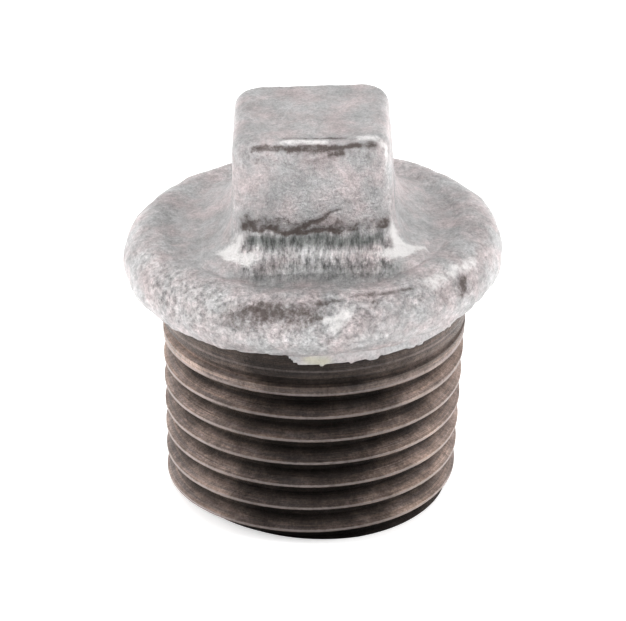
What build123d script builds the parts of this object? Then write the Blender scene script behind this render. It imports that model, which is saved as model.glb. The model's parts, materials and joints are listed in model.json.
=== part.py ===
"""Square-head beaded pipe plug with an R 1/2 taper thread: iron casting with a hot-dip zinc coat.

Millimetres, +Z up. The origin is the centre of the threaded end face, on the thread axis.
Head, bead and neck are cast true to each other, but the thread is cut a few degrees off them,
so everything left as cast is drawn on its own leaning axis. cast_lean = 0 gives a true plug.
"""

import os
from math import atan, cos, degrees, radians, sin, tan

from build123d import *

os.makedirs("parts", exist_ok=True)

# Taper pipe thread R 1/2 (ISO 7-1)
pitch = 25.4 / 14
taper = 1 / 32  # radius gained per millimetre of length
gauge_radius = 20.955 / 2
gauge_length = 8.16  # from the small end to the gauge plane
thread_depth = 0.6403 * pitch
flank_angle = 27.5
crest_flat = 0.22
crest_height = 12.1  # where a crest crosses the front of the plug
cut_height = 14.55  # the thread cutting stops at this shoulder
end_radius = 9.5  # flat threaded end, inside its chamfer
spare_length = 2.0  # cut off again once the groove is through it
first_turn = -8.2  # groove turns are counted from the full-depth crest, up the plug
groove_overlap = 0.02  # turns that the full-depth groove runs on under the run-out
runout_turns = 1.35
runout_slope = 0.5  # radius gained per millimetre as the groove lifts out

# As cast
cast_lean = 3.05  # degrees, head to the left
lean_height = 14.4  # where the cast axis crosses the thread axis
neck_radius = 10.7
neck_fillet = 0.4
bead_radius = 10.93  # centre of the rounded rim
bead_round = 2.03
bead_height = 17.85
dish_height = 19.5
dish_slope = 3.0
head_base = 18.4
head_top = 28.1
head_width = 10.1  # across flats at the top
head_offset = 0.2  # the head is cast a little to one side of the bead
head_draft = 3.0
head_corner = 1.7
head_edge = 0.7
root_fillet = 2.2
rim_fillet = 0.6

# Hollow, cored from the threaded end
core_radius = 6.4
core_depth = 13.2
core_draft = 1.5
core_round = 2.2
mouth_chamfer = 0.5

zinc = 0.1  # coat thickness


def crest_radius(height):
    return gauge_radius + (height - gauge_length) * taper


def leaning(height):
    """A plane across the cast axis, at a height along that axis from the threaded end."""
    crossing = Plane.XY.offset(lean_height).rotated((0, -cast_lean, 0))
    return crossing.offset(height - lean_height)


def cast_height(edge):
    return leaning(0).to_local_coords(edge.center()).Z


def cast_reach(edge):
    place = leaning(0).to_local_coords(edge.center())
    return (place.X**2 + place.Y**2) ** 0.5


def cast_shape(skin):
    """Neck, bead and head down to the shoulder, grown outward by skin."""
    base = leaning(0)
    neck = neck_radius + skin
    dish = dish_height + skin
    with BuildPart() as shape:
        with BuildSketch(Plane(origin=base.origin, x_dir=base.x_dir, z_dir=-base.y_dir)):
            with BuildLine():
                Polyline(
                    (0, cut_height - 2), (neck, cut_height - 2), (neck, bead_height),
                    (bead_radius, bead_height), (bead_radius, dish),
                    (0, dish + bead_radius * tan(radians(dish_slope))), (0, cut_height - 2),
                )
            make_face()
            with Locations((bead_radius, bead_height)):
                Circle(bead_round + skin)
        revolve(axis=Axis(base.origin, base.z_dir))
        rings = shape.edges().filter_by(GeomType.CIRCLE).sort_by(cast_height)
        fillet(rings[-1], rim_fillet - skin)
        under = shape.edges().filter_by(GeomType.CIRCLE).sort_by(cast_height)
        fillet(under[1], neck_fillet - skin)
        with BuildSketch(leaning(head_top + skin)):
            width = head_width + 2 * skin
            with Locations((head_offset, 0)):
                RectangleRounded(width, width, head_corner + skin)
        extrude(amount=head_base - head_top - skin, taper=-head_draft)
        root = shape.edges().filter_by(
            lambda e: dish < cast_height(e) < dish + 1 and cast_reach(e) < 7.8
        ).filter_by(lambda e: e.geom_type != GeomType.LINE)
        fillet(root, root_fillet - skin)
        fillet(shape.faces().sort_by(Axis.Z)[-1].edges(), head_edge + skin)
        split(bisect_by=Plane.XY.offset(cut_height), keep=Keep.TOP)
    return shape.part


def core_shape(skin):
    """The cored hollow, drawn in by skin."""
    top = core_radius - core_depth * tan(radians(core_draft)) - skin
    with BuildPart() as core:
        with BuildSketch(Plane.XZ):
            with BuildLine():
                Polyline(
                    (0, 0), (core_radius - skin, 0), (top, core_depth - skin),
                    (0, core_depth - skin), (0, 0),
                )
            make_face()
        revolve(axis=Axis.Z)
        rings = core.edges().filter_by(GeomType.CIRCLE).sort_by(Axis.Z)
        fillet(rings[-1], core_round - skin)
    return core.part


cast_iron = cast_shape(0)
cast_and_coat = cast_shape(zinc)
core = core_shape(0)
core_and_coat = core_shape(zinc)

# The iron: as cast above the shoulder, turned to the thread taper below it
with BuildPart() as plug_casting:
    add(cast_iron)
    with BuildSketch(Plane.XZ):
        with BuildLine():
            Polyline(
                (0, -spare_length), (crest_radius(-spare_length), -spare_length),
                (crest_radius(cut_height), cut_height), (0, cut_height), (0, -spare_length),
            )
        make_face()
    revolve(axis=Axis.Z)
    # The groove runs through the spare length, up the taper, then lifts out of the blank
    flank = tan(radians(flank_angle))
    half_mouth = (pitch - crest_flat) / 2
    half_root = half_mouth - thread_depth * flank
    over = thread_depth + 0.1
    groove_start = crest_height - pitch / 2
    passes = [(first_turn, groove_overlap, taper), (0, runout_turns, runout_slope)]
    for low, high, slope in passes:
        base = groove_start + low * pitch
        angle = radians(360 * low - 90)
        outward = Vector(cos(angle), sin(angle), 0)
        helix = Helix(
            pitch=pitch / cos(atan(slope)), height=(high - low) * pitch,
            radius=crest_radius(base) - thread_depth, center=(0, 0, base),
            cone_angle=degrees(atan(slope)), mode=Mode.PRIVATE,
        ).rotate(Axis.Z, degrees(angle))
        with BuildSketch(
            Plane(helix @ 0, x_dir=outward, z_dir=outward.cross(Vector(0, 0, 1)))
        ):
            with BuildLine():
                Polyline(
                    (0, -half_root), (thread_depth, -half_mouth), (over, -half_mouth),
                    (over, half_mouth), (thread_depth, half_mouth), (0, half_root),
                    (0, -half_root),
                )
            make_face()
        sweep(path=Wire([helix]), is_frenet=True, mode=Mode.SUBTRACT)
    # Face the end to length and chamfer it
    with BuildSketch(Plane.XZ):
        with BuildLine():
            outside = end_radius + 2
            Polyline(
                (0, 0), (end_radius, 0), (outside, 2), (outside, -spare_length - 1),
                (0, -spare_length - 1), (0, 0),
            )
        make_face()
    revolve(axis=Axis.Z, mode=Mode.SUBTRACT)
    add(core, mode=Mode.SUBTRACT)
    mouth = plug_casting.edges().filter_by(GeomType.CIRCLE).filter_by(
        lambda e: abs(e.center().Z) < 0.01 and abs(e.radius - core_radius) < 0.01
    )
    chamfer(mouth, mouth_chamfer)

with BuildPart() as zinc_coating_outer:
    add(cast_and_coat)
    add(cast_iron, mode=Mode.SUBTRACT)

with BuildPart() as zinc_coating_cavity:
    add(core)
    add(core_and_coat, mode=Mode.SUBTRACT)
    split(bisect_by=Plane.XY.offset(mouth_chamfer), keep=Keep.TOP)

plug_casting.part.label = "plug_casting"
zinc_coating_outer.part.label = "zinc_coating_outer"
zinc_coating_cavity.part.label = "zinc_coating_cavity"
export_step(plug_casting.part, "parts/plug_casting.step")
export_step(zinc_coating_outer.part, "parts/zinc_coating_outer.step")
export_step(zinc_coating_cavity.part, "parts/zinc_coating_cavity.step")
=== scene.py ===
"""Looks of the square-head pipe plug: galvanised head, bead and neck, bare iron thread."""

import json
from math import atan2, cos, degrees, exp, hypot, pi, radians, sin, tan

import bpy
from mathutils import Matrix, Vector, noise

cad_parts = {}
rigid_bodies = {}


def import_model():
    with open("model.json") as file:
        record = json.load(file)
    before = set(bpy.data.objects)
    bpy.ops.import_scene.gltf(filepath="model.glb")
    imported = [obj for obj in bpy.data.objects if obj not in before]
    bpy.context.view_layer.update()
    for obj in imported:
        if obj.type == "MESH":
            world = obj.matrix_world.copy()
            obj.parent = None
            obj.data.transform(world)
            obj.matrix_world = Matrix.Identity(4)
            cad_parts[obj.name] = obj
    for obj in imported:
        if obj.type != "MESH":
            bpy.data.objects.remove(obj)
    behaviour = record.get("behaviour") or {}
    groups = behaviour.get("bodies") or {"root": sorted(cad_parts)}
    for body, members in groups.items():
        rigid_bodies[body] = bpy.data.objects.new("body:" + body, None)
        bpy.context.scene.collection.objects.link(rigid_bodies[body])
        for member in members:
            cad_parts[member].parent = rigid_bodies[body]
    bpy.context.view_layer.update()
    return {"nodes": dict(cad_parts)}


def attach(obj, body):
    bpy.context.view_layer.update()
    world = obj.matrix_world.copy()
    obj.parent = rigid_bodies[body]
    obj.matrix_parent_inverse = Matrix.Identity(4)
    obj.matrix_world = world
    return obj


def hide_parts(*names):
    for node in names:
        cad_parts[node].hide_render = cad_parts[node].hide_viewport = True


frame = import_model()

MM = 0.001

# Sizes in millimetres. The cast ones are the part's with its zinc on, or a little over.
pitch = 25.4 / 14
taper = 1 / 32
gauge_radius, gauge_length = 20.955 / 2, 8.16
crest_height = 12.1  # where a crest crosses the front of the plug
cut_height = 14.55  # the thread cutting stops at this shoulder
runout_height = 12.2  # above it the thread runs out
cast_lean, lean_height = 3.05, 14.4  # degrees, and where the two axes cross
neck_radius = 10.8
bead_radius, bead_round, bead_height = 10.93, 2.13, 17.85
dish_height = 19.68
head_width, head_top, head_base = 10.3, 28.2, 22.35
head_draft, head_corner, head_edge, head_offset = 3.0, 1.8, 0.75, 0.2
flare_reach, flare_turn, flare_steps = 2.35, 84, 9  # root of the head, turned outward
skirt = 1.5  # the head goes on this far below its flare, inside the web
neck_tuck = 0.9  # the neck goes on this far below the shoulder, inside the iron
web_insets, web_rise = (1.6, 3.4), 0.3
voxel, smoothing = 0.15, 6
clearance = 0.13  # the visible zinc stands this far proud, so that no iron shows through

lean = (
    Matrix.Translation((0, 0, lean_height * MM))
    @ Matrix.Rotation(radians(-cast_lean), 4, "Y")
    @ Matrix.Translation((0, 0, -lean_height * MM))
)


# ---------------------------------------------------------------- modelling helpers
def clear_selection():
    """Object mode, with nothing selected."""
    if bpy.context.mode != "OBJECT":
        bpy.ops.object.mode_set(mode="OBJECT")
    for thing in bpy.context.view_layer.objects:
        thing.select_set(False)


def pick(thing):
    """Select this piece alone."""
    clear_selection()
    thing.select_set(True)
    bpy.context.view_layer.objects.active = thing


def select_faces(thing, wanted):
    """Edit mode with only the faces whose centre and normal pass the test selected."""
    pick(thing)
    for face in thing.data.polygons:
        face.select = wanted(face.center / MM, face.normal)
    for edge in thing.data.edges:
        edge.select = False
    for point in thing.data.vertices:
        point.select = False
    for face in thing.data.polygons:
        if face.select:
            for v in face.vertices:
                thing.data.vertices[v].select = True
    bpy.ops.object.mode_set(mode="EDIT")
    bpy.ops.mesh.select_mode(type="FACE")


def select_edges(thing, wanted):
    """Edit mode with only the edges whose two ends pass the test selected."""
    pick(thing)
    for face in thing.data.polygons:
        face.select = False
    for point in thing.data.vertices:
        point.select = False
    for edge in thing.data.edges:
        a, b = (thing.data.vertices[v].co / MM for v in edge.vertices)
        edge.select = wanted(a, b)
        if edge.select:
            for v in edge.vertices:
                thing.data.vertices[v].select = True
    bpy.ops.object.mode_set(mode="EDIT")
    bpy.ops.mesh.select_mode(type="EDGE")


def done_editing():
    bpy.ops.object.mode_set(mode="OBJECT")


def settle(thing):
    """Put the piece's place into its mesh."""
    pick(thing)
    bpy.ops.object.transform_apply(location=True, rotation=True, scale=True)


def join(things, name):
    """Make one piece of them, under this name."""
    clear_selection()
    for thing in things:
        thing.select_set(True)
    bpy.context.view_layer.objects.active = things[0]
    bpy.ops.object.join()
    things[0].name = name
    return things[0]


def soft(low, high, value):
    """0 at low and beyond it, 1 at high and beyond it, smooth between."""
    t = min(1.0, max(0.0, (value - low) / (high - low)))
    return t * t * (3 - 2 * t)


def crest_radius(height):
    """Radius of the thread's crests at a height above the threaded end."""
    return gauge_radius + (height - gauge_length) * taper


# ---------------------------------------------------------------- galvanised head, bead and neck
def make_head():
    """Square head with draft, rounded corners and edge, and a flared root."""
    clear_selection()
    middle = (head_top + head_base) / 2
    bpy.ops.mesh.primitive_cube_add(size=1, location=(head_offset * MM, 0, middle * MM))
    head = bpy.context.object
    head.scale = (head_width * MM, head_width * MM, (head_top - head_base) * MM)
    settle(head)
    # draft: the bottom is wider
    select_faces(head, lambda c, n: n.z < -0.9)
    wide = 1 + 2 * (head_top - head_base) * tan(radians(head_draft)) / head_width
    bpy.ops.transform.resize(
        value=(wide, wide, 1), center_override=(head_offset * MM, 0, head_base * MM)
    )
    done_editing()
    # rounded corners and top edge
    select_edges(head, lambda a, b: abs(a.z - b.z) > 2)
    bpy.ops.mesh.bevel(offset=head_corner * MM, segments=10, profile=0.5)
    done_editing()
    select_edges(head, lambda a, b: min(a.z, b.z) > head_top - 0.01)
    bpy.ops.mesh.bevel(offset=head_edge * MM, segments=8, profile=0.5)
    done_editing()
    # flare at the root
    width = head_width * wide
    select_faces(head, lambda c, n: n.z < -0.9)
    done, fallen = 0.0, 0.0
    for step in range(1, flare_steps + 1):
        turn = radians(flare_turn) * step / flare_steps
        out, fall = flare_reach * (1 - cos(turn)), flare_reach * sin(turn)
        grow = (width + 2 * out) / (width + 2 * done)
        bpy.ops.mesh.extrude_region_move(
            TRANSFORM_OT_translate={"value": (0, 0, -(fall - fallen) * MM)}
        )
        bpy.ops.transform.resize(
            value=(grow, grow, 1),
            center_override=(head_offset * MM, 0, (head_base - fall) * MM),
        )
        done, fallen = out, fall
    bpy.ops.mesh.extrude_region_move(TRANSFORM_OT_translate={"value": (0, 0, -skirt * MM)})
    done_editing()
    return head


def make_bead():
    """The thick rounded rim."""
    clear_selection()
    bpy.ops.mesh.primitive_torus_add(
        location=(0, 0, bead_height * MM), major_segments=240, minor_segments=48,
        major_radius=bead_radius * MM, minor_radius=bead_round * MM,
    )
    return bpy.context.object


def make_neck():
    """Neck below the bead and the dished web inside it."""
    clear_selection()
    low = cut_height - neck_tuck
    bpy.ops.mesh.primitive_cylinder_add(
        vertices=240, radius=neck_radius * MM, depth=(dish_height - low) * MM,
        location=(0, 0, (dish_height + low) / 2 * MM),
    )
    neck = bpy.context.object
    settle(neck)
    # the web rises a little towards the head
    select_faces(neck, lambda c, n: n.z > 0.9)
    for inset in web_insets:
        bpy.ops.mesh.inset(thickness=inset * MM)
    bpy.ops.transform.translate(value=(0, 0, web_rise * MM))
    done_editing()
    return neck


def make_skin():
    """Head, bead and neck blended into one closed surface."""
    skin = join([make_bead(), make_neck(), make_head()], "galvanised_head_and_bead")
    settle(skin)
    remesh = skin.modifiers.new("one skin", "REMESH")
    remesh.mode = "VOXEL"
    remesh.voxel_size = voxel * MM
    pick(skin)
    bpy.ops.object.modifier_apply(modifier=remesh.name)
    relax = skin.modifiers.new("blend", "SMOOTH")
    relax.iterations = smoothing
    relax.factor = 0.5
    bpy.ops.object.modifier_apply(modifier=relax.name)
    return skin


# ---------------------------------------------------------------- lumps and folds in the zinc
def clouds(size, depth=2):
    """Lumps about size millimetres across."""
    grain = bpy.data.textures.new("grain", "CLOUDS")
    grain.noise_scale = size * MM
    grain.noise_depth = depth
    return grain


def push(thing, height, where=None, grain=None):
    """Raise the surface by height, in millimetres, as strongly as where says for each point."""
    pick(thing)
    move = thing.modifiers.new("push", "DISPLACE")
    move.strength = height * MM
    move.direction = "NORMAL"
    move.texture_coords = "LOCAL"
    if grain:
        move.texture = grain
        move.mid_level = 0.5
    else:
        move.mid_level = 0
    if where:
        group = thing.vertex_groups.new(name="where")
        move.vertex_group = group.name
        for point in thing.data.vertices:
            weight = where(point.co / MM)
            if weight > 0.004:
                group.add([point.index], min(1.0, weight), "REPLACE")
    bpy.ops.object.modifier_apply(modifier=move.name)
    if where:
        thing.vertex_groups.clear()


def wander(point, size, seed=0.0):
    """Smooth noise about zero, wandering over size millimetres."""
    return noise.noise(Vector((point.x / size + seed, point.y / size - seed, point.z / size)))


def stroke(strength, width, wave, *points):
    """A soft brush stroke through the points: full strength on it, fading out over width."""
    ends = [Vector(point) for point in points]
    margin = 2.6 * width + wave
    low = [min(end[i] for end in ends) - margin for i in range(3)]
    high = [max(end[i] for end in ends) + margin for i in range(3)]

    def weight(p):
        if not all(low[i] < p[i] < high[i] for i in range(3)):
            return 0.0
        q = p + Vector((0, 0, wave * wander(p, 0.9, 4.0)))
        closest = margin
        for a, b in zip(ends, ends[1:]):
            along = max(0.0, min(1.0, (q - a).dot(b - a) / (b - a).length_squared))
            closest = min(closest, ((q - a) - (b - a) * along).length)
        return strength * exp(-((closest / width) ** 2))

    return weight


def on_bead(p):
    """1 on the rim, 0 on the head, dish and neck."""
    return soft(8.6, 10.0, hypot(p.x, p.y)) * soft(14.9, 15.9, p.z) * (1 - soft(20.3, 20.8, p.z))


def front(p):
    """1 at the front, 0 at the back."""
    return soft(-0.2, 0.75, -p.y / max(hypot(p.x, p.y), 0.1))


def neck_edge(p):
    """Height where the zinc on the neck stops at the machined thread."""
    turn = degrees(atan2(p.x, -p.y))
    ragged = 0.16 * wander(p, 0.7, 2.0) + 0.1 * wander(p, 0.3, 7.0)
    return 14.5 + 1.3 * soft(-4, -13, turn) * soft(-75, -60, turn) + ragged


skin = make_skin()
push(skin, clearance)
push(skin, 0.34, on_bead, clouds(2.6, 1))
push(skin, 0.26, lambda p: on_bead(p) * (0.35 + 0.65 * front(p)), clouds(0.9))
push(skin, 0.12, None, clouds(3.5))
push(skin, 0.07, lambda p: 1 - on_bead(p), clouds(0.8))

fold_top = ((-1.5, -4.15, 28.35), (0.4, -4.3, 28.35), (2.6, -4.25, 28.3))
# a ridge along the top edge, which also carries a painted highlight
highlight_fold = ((-1.6, -4.7, 28.28), (1.3, -4.75, 28.28))
fold_low = ((-3.6, -5.05, 28.05), (-1.2, -5.1, 27.95), (1.2, -5.1, 27.9), (4.5, -4.8, 28.0))
crack_base = ((-4.5, -5.3, 22.4), (-1.3, -5.5, 22.0), (1.5, -5.5, 21.95), (5.1, -5.1, 22.0))
crack_up = ((-0.8, -5.5, 22.2), (0.8, -5.5, 22.9), (2.0, -5.45, 23.6))
rim_fold = (
    (0.6, -12.0, 19.7), (2, -11.6, 19.85), (6, -10.4, 19.8), (8, -9.4, 19.4), (9, -9.4, 18.5)
)
for height, width, wave, path in (
    (-0.10, 0.15, 0.2, fold_top), (0.08, 0.25, 0.2, highlight_fold), (-0.13, 0.18, 0.25, fold_low),
    (-0.14, 0.2, 0.3, crack_base), (-0.10, 0.14, 0.2, crack_up), (-0.10, 0.2, 0.3, rim_fold),
):
    push(skin, height, stroke(1, width, wave, *path))
# below its ragged edge the zinc dives into the iron
push(
    skin, -0.6,
    lambda p: (1 - soft(-0.06, 0.06, p.z - neck_edge(p)))
    * soft(10.0, 10.6, hypot(p.x, p.y)) * (1 - soft(15.9, 16.1, p.z)),
)


def paint(thing, name, *strokes):
    """Brush strokes kept as a number at every point, for the piece's material to read."""
    layer = thing.data.attributes.new(name, "FLOAT", "POINT")
    layer.data.foreach_set("value", [
        min(1.0, sum(weight(point.co / MM) for weight in strokes))
        for point in thing.data.vertices
    ])


# brown dirt and burnt zinc, with painted shade in the folds and creases, and blotches along the
# front of the rim
paint(
    skin, "grime_and_fold_shade",
    stroke(0.9, 0.18, 0.2, *fold_top),
    stroke(0.95, 0.3, 0.25, *fold_low),
    stroke(0.55, 0.18, 0.1, (1.5, -5.3, 27.5), (2.4, -5.3, 27.55)),
    stroke(0.42, 0.5, 0.3, (-3.6, -5.1, 27.3), (0, -5.2, 27.1), (4.2, -5.1, 27.3)),
    stroke(0.62, 0.75, 0.3, (-4.3, -5.3, 22.7), (0, -5.5, 22.4), (5.1, -5.1, 22.5)),
    stroke(0.7, 0.22, 0.3, *crack_base),
    stroke(0.55, 0.15, 0.2, *crack_up),
    stroke(0.62, 0.24, 0.3, *rim_fold),
    stroke(0.6, 0.9, 0.5, (-5.7, -11.6, 18.8), (-2.7, -12.3, 19.0), (0.3, -12.8, 18.9)),
    stroke(0.4, 0.8, 0.5, (-3.8, -12.0, 19.6), (0.3, -12.3, 19.7)),
    stroke(0.5, 0.5, 0.3, (3.4, -11.5, 19.5), (4.4, -11.4, 19.4)),
    stroke(0.85, 0.5, 0.3, (10.35, -7.7, 19.1), (10.1, -8.3, 18.5)),
)
# painted shade and dark reflection, dark grey, in the dish in front of the head and just above its
# root
paint(
    skin, "painted_shade",
    stroke(0.6, 1.3, 0.4, (-3.6, -7.9, 19.9), (1, -8.2, 19.9), (5.6, -7.6, 20.0)),
    stroke(1.0, 0.6, 0.3, (-4.0, -5.7, 21.4), (4.6, -5.8, 21.4)),
    stroke(0.3, 0.6, 0.5, (-4, -5.3, 23.2), (-1, -5.4, 23.0)),
)
# painted highlights: near-white zinc at the corners of the head's root, along its top edge and
# front corners, and round the rim
paint(
    skin, "painted_highlights",
    stroke(0.95, 0.3, 0.2, *highlight_fold),
    stroke(0.95, 0.6, 0.3, (-4.8, -5.3, 21.5), (-5.5, -6.0, 20.6), (-4.4, -6.8, 20.3)),
    stroke(0.7, 0.5, 0.3, (-5.5, -6.0, 20.6), (-6.3, -5.2, 20.4)),
    stroke(1.0, 0.65, 0.3, (5.7, -4.9, 21.3), (6.2, -5.8, 20.5), (5.4, -6.3, 20.5)),
    stroke(0.9, 0.5, 0.3, (6.2, -5.8, 20.5), (7.6, -4.6, 20.1)),
    stroke(0.5, 0.5, 0.3, (-4, -6.4, 20.7), (4.6, -6.5, 20.7)),
    stroke(0.8, 0.45, 0.3, (3.6, -4.4, 28.25), (4.8, -4.3, 28.1), (5.2, -4.2, 27.2)),
    stroke(0.5, 0.35, 0.3, (5.2, -4.4, 26.6), (5.55, -4.6, 22)),
    stroke(0.35, 0.35, 0.3, (-4.4, -4.8, 27.6), (-4.8, -5.0, 22.6)),
    stroke(0.85, 0.5, 0.3, (1.0, -12.9, 18.9), (2.3, -12.5, 18.9), (1.6, -13, 18.4)),
    stroke(0.85, 0.65, 0.4, (8, -9.3, 19.6), (9.7, -7.4, 19.7), (10.8, -5.9, 19.5)),
    stroke(
        0.5, 1.2, 0.6,
        (-11.8, -3.5, 19.5), (-9.9, -6.6, 19.7), (-7.8, -9.6, 19.6), (-5.4, -11.4, 19.4),
    ),
    stroke(0.45, 0.9, 0.6, (-11, -7, 18.2), (-7.5, -10.6, 18.1), (-3.8, -12.5, 17.7)),
    stroke(0.5, 0.5, 0.4, (0.5, -13.2, 17.3), (5, -12.2, 17.3)),
    stroke(0.45, 0.5, 0.3, (2.6, -12.2, 19.5), (3.6, -11.9, 19.6)),
)
# where the zinc froze in streaks down the root of the head
paint(
    skin, "streaks",
    stroke(1.0, 0.9, 0.2, (-4.3, -5.9, 21.2), (4.9, -5.9, 21.2)),
    stroke(0.9, 0.9, 0.2, (-4.3, -6.8, 20.4), (4.9, -6.8, 20.4)),
    stroke(0.45, 1.3, 0.2, (-4, -8, 19.9), (5, -8, 19.9)),
)
# where it froze rough, round the front of the rim
paint(
    skin, "crust",
    lambda p: 0.35 * on_bead(p),
    stroke(
        0.9, 1.6, 0.4,
        (-9.9, -7.6, 18.9), (-6.5, -11.0, 18.9), (-2, -12.6, 18.8), (2, -12.6, 18.9),
    ),
    stroke(0.5, 1.2, 0.4, (2, -12.3, 19.2), (7, -10.3, 19.2), (10.3, -7.4, 19.0)),
    stroke(0.5, 0.8, 0.3, (-4, -5, 27.6), (4, -5, 27.6)),
    stroke(0.5, 0.9, 0.3, (-4, -5.3, 22.6), (5, -5.3, 22.6)),
)
# a yellow-green stain at the edge of the zinc
paint(skin, "stain", stroke(0.8, 0.35, 0.1, (-0.3, -10.9, 15.0), (0.9, -10.9, 14.8)))
skin.data.transform(lean)
pick(skin)
bpy.ops.object.shade_smooth()

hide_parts("zinc_coating_outer")
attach(skin, "root")


# ---------------------------------------------------------------- finishes
metallic = 0.85
grey_zinc, warm_zinc = (0.525, 0.52, 0.522), (0.60, 0.53, 0.53)
# on the next line: the dark grey of painted shade, and the near-white of painted highlights
shaded_zinc, highlight_zinc = (0.16, 0.168, 0.162), (0.9, 0.88, 0.87)
# the dark brown on the next line is both burnt zinc and painted shade in the folds
stained_zinc, burnt_zinc_and_shade = (0.52, 0.5, 0.39), (0.105, 0.082, 0.074)
# the last one is the colour of the lighter crests
dark_iron, brown_iron, crest_iron = (0.13, 0.107, 0.1), (0.26, 0.19, 0.155), (0.25, 0.213, 0.203)


class Finish:
    """A material being mixed, with places in millimetres."""

    def __init__(self, name):
        self.material = bpy.data.materials.new(name)
        self.material.use_nodes = True
        self.tree = self.material.node_tree
        self.shader = self.tree.nodes["Principled BSDF"]
        place = self.put("ShaderNodeTexCoord").outputs["Object"]
        self.place = self.put(
            "ShaderNodeMapping", Vector=place, Scale=(1 / MM, 1 / MM, 1 / MM)
        ).outputs[0]
        split = self.put("ShaderNodeSeparateXYZ", Vector=self.place)
        self.x, self.y, self.z = split.outputs

    def put(self, kind, settings=(), **sockets):
        """A new node with these settings and inputs."""
        node = self.tree.nodes.new(kind)
        for name, value in dict(settings).items():
            setattr(node, name, value)
        for name, value in sockets.items():
            self.feed(node.inputs[name.replace("_", " ")], value)
        return node

    def feed(self, socket, value):
        """Link an output, or set a number, on an input."""
        if isinstance(value, bpy.types.NodeSocket):
            self.tree.links.new(value, socket)
        else:
            socket.default_value = value

    def sum(self, operation, *values):
        """One step of arithmetic."""
        node = self.tree.nodes.new("ShaderNodeMath")
        node.operation = operation
        for socket, value in zip(node.inputs, values):
            self.feed(socket, value)
        return node.outputs[0]

    def noise(self, size, detail=4, rough=0.55, vector=None, **more):
        """Noise whose features are about size millimetres."""
        node = self.put(
            "ShaderNodeTexNoise", more, Vector=vector or self.place,
            Scale=1 / size, Detail=detail, Roughness=rough,
        )
        return node.outputs["Fac"]

    def spread(self, value, low, high, to_low=0.0, to_high=1.0):
        """A smooth ramp from to_low at low to to_high at high."""
        node = self.put("ShaderNodeMapRange", {"interpolation_type": "SMOOTHSTEP"}, Value=value)
        for name, number in (
            ("From Min", low), ("From Max", high), ("To Min", to_low), ("To Max", to_high),
        ):
            node.inputs[name].default_value = number
        return node.outputs[0]

    def mix(self, amount, first, second, how="MIX"):
        """Colours blended, from first at 0 to second at 1."""
        node = self.tree.nodes.new("ShaderNodeMix")
        node.data_type = "RGBA"
        node.blend_type = how
        for socket, value in zip(
            (node.inputs["Factor"], node.inputs[6], node.inputs[7]), (amount, first, second)
        ):
            if not isinstance(value, (float, int, bpy.types.NodeSocket)):
                value = (*value, 1)
            self.feed(socket, value)
        return node.outputs[2]

    def scale(self, colour, amount):
        """A colour made darker or lighter."""
        grey = self.put("ShaderNodeCombineColor", Red=amount, Green=amount, Blue=amount).outputs[0]
        return self.mix(1.0, colour, grey, "MULTIPLY")

    def attribute(self, name):
        """What paint() kept under this name."""
        return self.put("ShaderNodeAttribute", {"attribute_name": name}).outputs["Fac"]

    def finish(self, colour, roughness, height, depth):
        """The finished material, its bump depth millimetres deep."""
        bump = self.put("ShaderNodeBump", Height=height, Strength=1.0, Distance=depth * MM)
        for name, value in (
            ("Base Color", colour), ("Roughness", roughness),
            ("Normal", bump.outputs[0]), ("Metallic", metallic),
        ):
            self.feed(self.shader.inputs[name], value)
        return self.material


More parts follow.
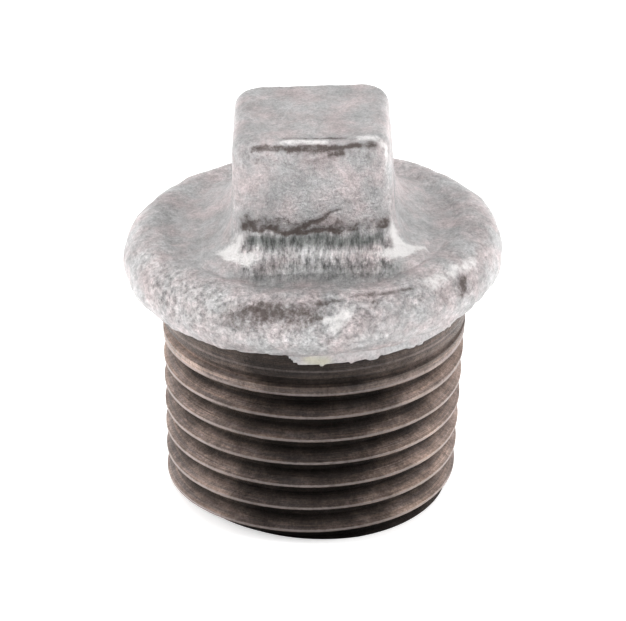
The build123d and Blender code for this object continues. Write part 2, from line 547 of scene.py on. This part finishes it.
def zinc_finish(name, shade_factor=1.0, painted=True):
    """Mottled hot-dip zinc, with what paint() kept on the skin where it is painted; a factor below
    1 darkens it all as painted shade.
    """
    f = Finish(name)
    cloudy = f.noise(2.6, 5, 0.62)
    tint = f.noise(2.4, 4, 0.6, noise_dimensions="4D")
    speck = f.noise(0.5, 8, 0.72)
    grain = f.noise(0.17, 5, 0.75)
    colour = f.mix(f.spread(tint, 0.38, 0.66), grey_zinc, warm_zinc)
    # random clouds of lighter and darker zinc; the factor darkens it all, as painted shade in the
    # hollow
    colour = f.scale(colour, f.spread(cloudy, 0.28, 0.72, 0.8 * shade_factor, 1.13 * shade_factor))
    if painted:
        # painted shade: dark grey in the dish and at the root of the head, with dark specks all
        # over
        shade_and_specks = f.sum("ADD", f.attribute("painted_shade"), f.sum("MULTIPLY_ADD", speck, 1.6, -0.8))
        colour = f.mix(f.spread(shade_and_specks, 0.1, 1.1), colour, shaded_zinc)
    colour = f.scale(colour, f.spread(speck, 0.3, 0.7, 0.8, 1.13))
    colour = f.scale(colour, f.spread(grain, 0.3, 0.7, 0.76, 1.17))
    rough = f.spread(cloudy, 0.3, 0.7, 0.45, 0.3)
    height = f.sum("MULTIPLY_ADD", grain, 0.4, speck)
    if painted:
        drawn_out = f.put("ShaderNodeMapping", Vector=f.place, Scale=(1.0, 0.3, 0.3)).outputs[0]
        streak = f.noise(0.34, 5, 0.7, vector=drawn_out)
        crumple = f.noise(0.42, 7, 0.74, noise_dimensions="4D")
        streaks, crust = f.attribute("streaks"), f.attribute("crust")
        ruffle = f.sum("MULTIPLY", f.sum("SUBTRACT", streak, 0.5), streaks)
        ruffle = f.sum(
            "MULTIPLY_ADD", f.sum("MULTIPLY", f.sum("SUBTRACT", crumple, 0.5), crust), 0.8, ruffle
        )
        colour = f.scale(colour, f.spread(ruffle, -0.2, 0.2, 0.3, 1.7))
        height = f.sum("MULTIPLY_ADD", ruffle, 2.0, height)
        # brown dirt and burnt zinc, with painted shade in the folds, and dark pits all over
        dirt_and_shade = f.sum("ADD", f.attribute("grime_and_fold_shade"), f.sum("MULTIPLY_ADD", speck, 2.2, -1.1))
        dirt_and_shade = f.sum("MULTIPLY_ADD", grain, 0.8, f.sum("SUBTRACT", dirt_and_shade, 0.4))
        dirt_and_shade = f.spread(dirt_and_shade, 0.2, 0.95, 0.0, 0.9)
        # painted highlights, near-white, with bright specks all over
        highlight_and_specks = f.sum("ADD", f.attribute("painted_highlights"), f.sum("MULTIPLY_ADD", speck, 1.6, -0.8))
        highlight_and_specks = f.spread(highlight_and_specks, 0.3, 1.0, 0.0, 0.9)
        colour = f.mix(highlight_and_specks, colour, highlight_zinc)
        colour = f.mix(f.attribute("stain"), colour, stained_zinc)
        colour = f.mix(dirt_and_shade, colour, burnt_zinc_and_shade)
        rough = f.sum("MULTIPLY_ADD", dirt_and_shade, 0.25, rough)
    return f.finish(colour, rough, height, 0.2)


def thread_finish():
    """Dark oily machined iron with lighter crests, painted side light, and painted shade in the
    grooves and at the end.
    """
    f = Finish("bare_machined_iron")
    reach = f.sum("SQRT", f.sum("ADD", f.sum("MULTIPLY", f.x, f.x), f.sum("MULTIPLY", f.y, f.y)))
    crest = f.sum("MULTIPLY_ADD", f.z, taper, crest_radius(0))
    depth = f.sum("SUBTRACT", crest, reach)
    # lines that follow the thread: angle round the cut, without a seam
    phase = f.sum("SUBTRACT", f.sum("MULTIPLY", f.z, 2 * pi / pitch), f.sum("ARCTAN2", f.y, f.x))
    ring = f.put(
        "ShaderNodeCombineXYZ", X=f.sum("MULTIPLY", f.sum("COSINE", phase), 6.0),
        Y=f.sum("MULTIPLY", f.sum("SINE", phase), 6.0), Z=f.sum("MULTIPLY", f.z, 0.25),
    ).outputs[0]
    scratch, drift = (
        f.put(
            "ShaderNodeTexNoise", {"noise_dimensions": "4D"}, Vector=ring,
            W=f.sum("MULTIPLY", f.x, along), Scale=scale, Detail=6.0, Roughness=0.75,
        ).outputs["Fac"]
        for along, scale in ((0.14, 1.5), (0.9, 0.28))
    )
    patch = f.noise(2.4, 4, 0.6)
    grain = f.noise(0.15, 5, 0.75)
    speck = f.noise(0.45, 7, 0.75)
    flank = f.mix(f.spread(drift, 0.35, 0.68), dark_iron, brown_iron)
    flank = f.scale(flank, f.spread(patch, 0.3, 0.72, 0.7, 1.3))
    # painted side light: lighter at the left and right, where the softboxes fall, and painted
    # shade at the front and back
    painted_side_light = f.sum("MULTIPLY_ADD", patch, 5.0, f.sum("ABSOLUTE", f.x))
    painted_side_light = f.spread(painted_side_light, 4.6, 12.0, 0.42, 1.65)
    flank = f.scale(flank, painted_side_light)
    flank = f.scale(flank, f.spread(scratch, 0.3, 0.7, 0.62, 1.3))
    flank = f.scale(flank, f.spread(speck, 0.3, 0.7, 0.72, 1.25))
    flank = f.scale(flank, f.spread(grain, 0.3, 0.7, 0.72, 1.25))
    # painted shade deep in the grooves, getting lighter towards the crests
    colour = f.scale(flank, f.spread(depth, 0.1, 1.1, 1.3, 0.25))
    # above the last full turn, where the tool only skimmed the iron, the iron is drawn darker; the
    # end chamfer, facing the floor, is darkened as painted shade
    colour = f.scale(colour, f.spread(f.z, runout_height, 13.0, 1.0, 0.34))
    colour = f.scale(colour, f.spread(f.z, 0.45, 0.75, 0.3, 1.0))
    # the crests are lighter, in a thin broken line up to where the thread runs out, brightest at
    # the sides with the painted side light
    crest_phase = 2 * pi * crest_height / pitch + pi / 2
    crest_line = f.sum("COSINE", f.sum("SUBTRACT", phase, crest_phase))
    edge = f.spread(f.sum("MULTIPLY_ADD", speck, 0.06, crest_line), 0.985, 1.01)
    edge = f.sum("MULTIPLY", edge, f.spread(f.z, 12.4, 13.6, 1.0, 0.3))
    edge = f.sum("MULTIPLY", edge, f.spread(speck, 0.3, 0.6, 0.45, 1.0))
    crest_with_side_light = f.scale(crest_iron, f.spread(painted_side_light, 0.42, 1.75, 0.75, 1.5))
    colour = f.mix(edge, colour, crest_with_side_light)
    rough = f.spread(scratch, 0.3, 0.7, 0.28, 0.48)
    height = f.sum("MULTIPLY_ADD", speck, 0.8, f.sum("MULTIPLY_ADD", grain, 0.4, scratch))
    return f.finish(colour, rough, height, 0.1)


skin.data.materials.append(zinc_finish("hot_dip_zinc"))
for node, finish in (
    ("plug_casting", thread_finish()),
    # the zinc in the hollow is darkened as painted shade
    ("zinc_coating_cavity", zinc_finish("zinc_in_the_hollow", 0.85, painted=False)),
):
    thing = frame["nodes"][node]
    for place in thing.material_slots:
        place.material = finish


# ---------------------------------------------------------------- camera, lights, floor
camera_tilt, camera_roll = 27.22, 1.335  # degrees
camera_distance, camera_aim = 250, (0, 0, 12.1)
camera_shift, camera_rise = -0.055, 0.892
sensor_width, lens = 36, 204.309


def aim_camera():
    """A long lens from a little above, looking at the middle of the plug."""
    tilt, roll = radians(camera_tilt), radians(camera_roll)
    right = Vector((1, 0, 0))
    up = Vector((0, sin(tilt), cos(tilt)))
    ahead = Vector((0, cos(tilt), -sin(tilt)))
    level = right * cos(roll) + up * sin(roll)
    upright = up * cos(roll) - right * sin(roll)
    place = Vector(camera_aim) + level * camera_shift + upright * camera_rise
    place -= ahead * camera_distance
    camera = bpy.data.objects.new("camera", bpy.data.cameras.new("camera"))
    bpy.context.scene.collection.objects.link(camera)
    turn = Matrix((level, upright, -ahead)).transposed().to_4x4()
    camera.matrix_world = Matrix.Translation(place * MM) @ turn
    camera.data.sensor_width = sensor_width
    camera.data.lens = lens
    camera.data.clip_start = 0.01
    camera.data.clip_end = 10
    bpy.context.scene.camera = camera


def add_light(name, place, size, power):
    """A rectangular light at a place in metres, facing the plug."""
    data = bpy.data.lights.new(name, "AREA")
    data.shape = "RECTANGLE"
    data.size, data.size_y = size
    data.energy = power
    light = bpy.data.objects.new(name, data)
    bpy.context.scene.collection.objects.link(light)
    target = Vector((0, 0, 0.015))
    place = Vector(place)
    light.matrix_world = Matrix.Translation(place) @ (target - place).to_track_quat(
        "-Z", "Y"
    ).to_matrix().to_4x4()


aim_camera()
add_light("left_softbox", (-0.34, -0.06, 0.16), (0.16, 0.26), 0.85)
add_light("right_softbox", (0.34, -0.10, 0.20), (0.16, 0.26), 1.0)
add_light("top_softbox", (0.0, 0.12, 0.45), (0.4, 0.3), 0.5)

# white all round, brighter behind the plug than in front of it
world = bpy.data.worlds.new("studio")
bpy.context.scene.world = world
world.use_nodes = True
tree = world.node_tree
wall = tree.nodes.new("ShaderNodeTexCoord")
split = tree.nodes.new("ShaderNodeSeparateXYZ")
depth = tree.nodes.new("ShaderNodeMapRange")
tree.links.new(wall.outputs["Generated"], split.inputs[0])
tree.links.new(split.outputs["Y"], depth.inputs["Value"])
for name, number in (("From Min", -0.9), ("From Max", 0.5), ("To Min", 0.2), ("To Max", 0.9)):
    depth.inputs[name].default_value = number
tree.links.new(depth.outputs[0], tree.nodes["Background"].inputs["Strength"])
tree.nodes["Background"].inputs["Color"].default_value = (1, 1, 1, 1)

clear_selection()
bpy.ops.mesh.primitive_plane_add(size=6, location=(0, 0, 0))
floor = bpy.context.object
floor.name = "floor"
white = bpy.data.materials.new("floor_white")
white.use_nodes = True
for name, value in (
    ("Base Color", (0.93, 0.93, 0.93, 1)), ("Roughness", 0.9),
    ("Emission Color", (1, 1, 1, 1)), ("Emission Strength", 0.5),
):
    white.node_tree.nodes["Principled BSDF"].inputs[name].default_value = value
floor.data.materials.append(white)

bpy.context.scene.view_settings.view_transform = "Standard"
